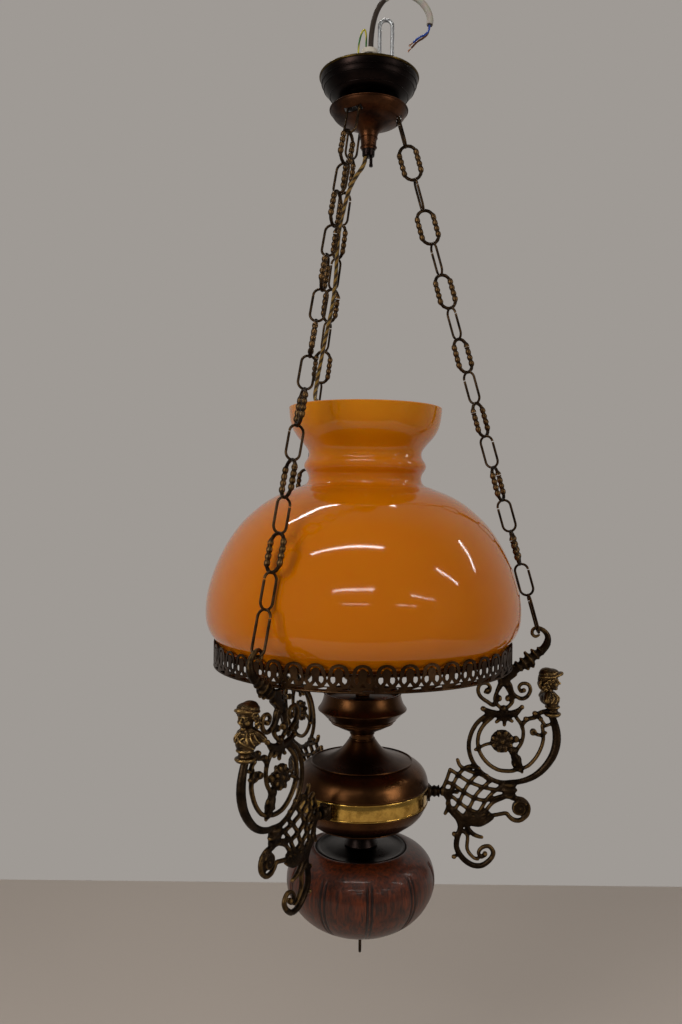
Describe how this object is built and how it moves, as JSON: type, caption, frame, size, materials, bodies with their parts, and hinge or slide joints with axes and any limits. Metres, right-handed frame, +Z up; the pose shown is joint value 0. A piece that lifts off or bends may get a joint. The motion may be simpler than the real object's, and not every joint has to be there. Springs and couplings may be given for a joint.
{
  "type": "sanctuary lamp",
  "caption": "Hanging lamp with an opal glass dome shade held by chains and cast openwork arms, above a spun font and a fluted wooden ball with a pull ring.",
  "frame": {"origin": "where a ceiling hook bears, at the inside of the bail's crown", "axes": "+Z up, +X towards the arm on the lamp's right, +Y towards the back"},
  "size_m": [0.4335, 0.4226, 1.1626],
  "materials": {
    "galvanised_steel": "bright galvanised wire and plate",
    "plated_tube": "nickel-plated, dulled",
    "white_bush": "moulded, satin",
    "blackened_bronze": "chemically darkened, satin",
    "copper_bronze": "copper-brown patina, satin",
    "chain_bronze": "cast and drawn, brown patina",
    "cast_bronze": "cast openwork, dark patina with brighter high spots",
    "brown_brass": "spun, brown patina, satin",
    "polished_brass": "polished",
    "cased_opal_glass": "blown, cased orange over white opal, glossy",
    "bulb_glass": "frosted",
    "glazed_porcelain": "white glaze",
    "lacquered_wood": "turned and fluted, red-brown gloss lacquer",
    "dark_sheath": "extruded PVC, satin",
    "grey_sleeve": "woven insulating sleeve",
    "blue_core": "extruded PVC",
    "brown_core": "extruded PVC",
    "earth_core": "extruded PVC, green and yellow",
    "gold_cord": "translucent gold PVC over stranded copper"
  },
  "bodies": {
    "bail": {"suspension_bail": "galvanised_steel"},
    "canopy": {"hanger_bracket": "galvanised_steel", "canopy_bowl": "blackened_bronze", "hanger_tube": "plated_tube", "tube_end_ring": "white_bush", "canopy_locknut": "galvanised_steel", "chain_cone": "copper_bronze", "cord_grip": "blackened_bronze", "cord_grip_screw": "blackened_bronze", "earth_screw": "plated_tube", "earth_wire": "earth_core", "feed_cord": "dark_sheath", "feed_sleeve": "grey_sleeve", "feed_core_blue": "blue_core", "feed_core_brown": "brown_core", "chain_right_toggle_pin": "galvanised_steel", "chain_rear_toggle_pin": "galvanised_steel", "chain_front_toggle_pin": "galvanised_steel"},
    "chain_right": {"chain_right_hook_link": "chain_bronze", "chain_right_links": "chain_bronze", "chain_right_top_link": "chain_bronze"},
    "chain_rear": {"chain_rear_hook_link": "chain_bronze", "chain_rear_links": "chain_bronze", "chain_rear_top_link": "chain_bronze"},
    "chain_front": {"chain_front_hook_link": "chain_bronze", "chain_front_links": "chain_bronze", "chain_front_top_link": "chain_bronze"},
    "lamp": {"arm_right": "cast_bronze", "arm_stud_right": "cast_bronze", "gallery_screw_right": "brown_brass", "arm_rear": "cast_bronze", "arm_stud_rear": "cast_bronze", "gallery_screw_rear": "brown_brass", "arm_front": "cast_bronze", "arm_stud_front": "cast_bronze", "gallery_screw_front": "brown_brass", "gallery_ring": "blackened_bronze", "vase_cover": "brown_brass", "holder_locknut": "brown_brass", "holder_base": "brown_brass", "holder_insert": "glazed_porcelain", "holder_shell": "brown_brass", "burner_vase": "brown_brass", "font_upper": "brown_brass", "brass_band": "polished_brass", "font_lower": "brown_brass", "font_neck": "blackened_bronze", "wood_collar": "blackened_bronze", "wood_ball": "lacquered_wood", "tie_rod": "plated_tube", "finial_eye": "cast_bronze", "lamp_cord": "gold_cord"},
    "shade": {"glass_shade_bowl": "cased_opal_glass", "glass_shade_shoulder": "cased_opal_glass", "glass_shade_crown": "cased_opal_glass"},
    "bulb": {"bulb_cap": "plated_tube", "bulb_glass": "bulb_glass"},
    "pull_ring": {"pull_ring": "cast_bronze"}
  },
  "joints": [
    {"name": "bail_swing", "type": "hinge", "parent": "bail", "child": "canopy", "pos_m": [0, 0, -0.073], "axis": [1, 0, 0], "range_deg": [-20, 20]},
    {"name": "lamp_sway", "type": "hinge", "parent": "canopy", "child": "lamp", "pos_m": [-0.0198, 0, 0.008], "axis": [0, 1, 0], "range_deg": [-3, 3], "deforming": ["lamp_cord"]},
    {"name": "chain_right_swing", "type": "hinge", "parent": "canopy", "child": "chain_right", "pos_m": [0.0176, 0, -0.1225], "axis": [0, 1, 0], "range_deg": [-3.7, 3.7]},
    {"name": "chain_rear_swing", "type": "hinge", "parent": "canopy", "child": "chain_rear", "pos_m": [-0.0385, 0.0324, -0.1225], "axis": [0, 1, 0], "range_deg": [-3.7, 3.7]},
    {"name": "chain_front_swing", "type": "hinge", "parent": "canopy", "child": "chain_front", "pos_m": [-0.0385, -0.0324, -0.1225], "axis": [0, 1, 0], "range_deg": [-3.7, 3.7]},
    {"name": "shade_lift", "type": "slide", "parent": "lamp", "child": "shade", "axis": [0, 0, 1], "range_m": [0, 0.006]},
    {"name": "bulb_turn", "type": "hinge", "parent": "lamp", "child": "bulb", "pos_m": [-0.0198, 0, -0.781], "axis": [0, 0, 1], "range_deg": [0, 1080]},
    {"name": "pull_ring_swing", "type": "hinge", "parent": "lamp", "child": "pull_ring", "pos_m": [-0.0198, 0, -1.1121], "axis": [0, 1, 0], "range_deg": [-60, 60]}
  ],
  "couplings": [
    {"joint": "chain_right_swing", "follows": "lamp_sway", "ratio": 1.2112},
    {"joint": "chain_rear_swing", "follows": "lamp_sway", "ratio": 1.2112},
    {"joint": "chain_front_swing", "follows": "lamp_sway", "ratio": 1.2112}
  ]
}
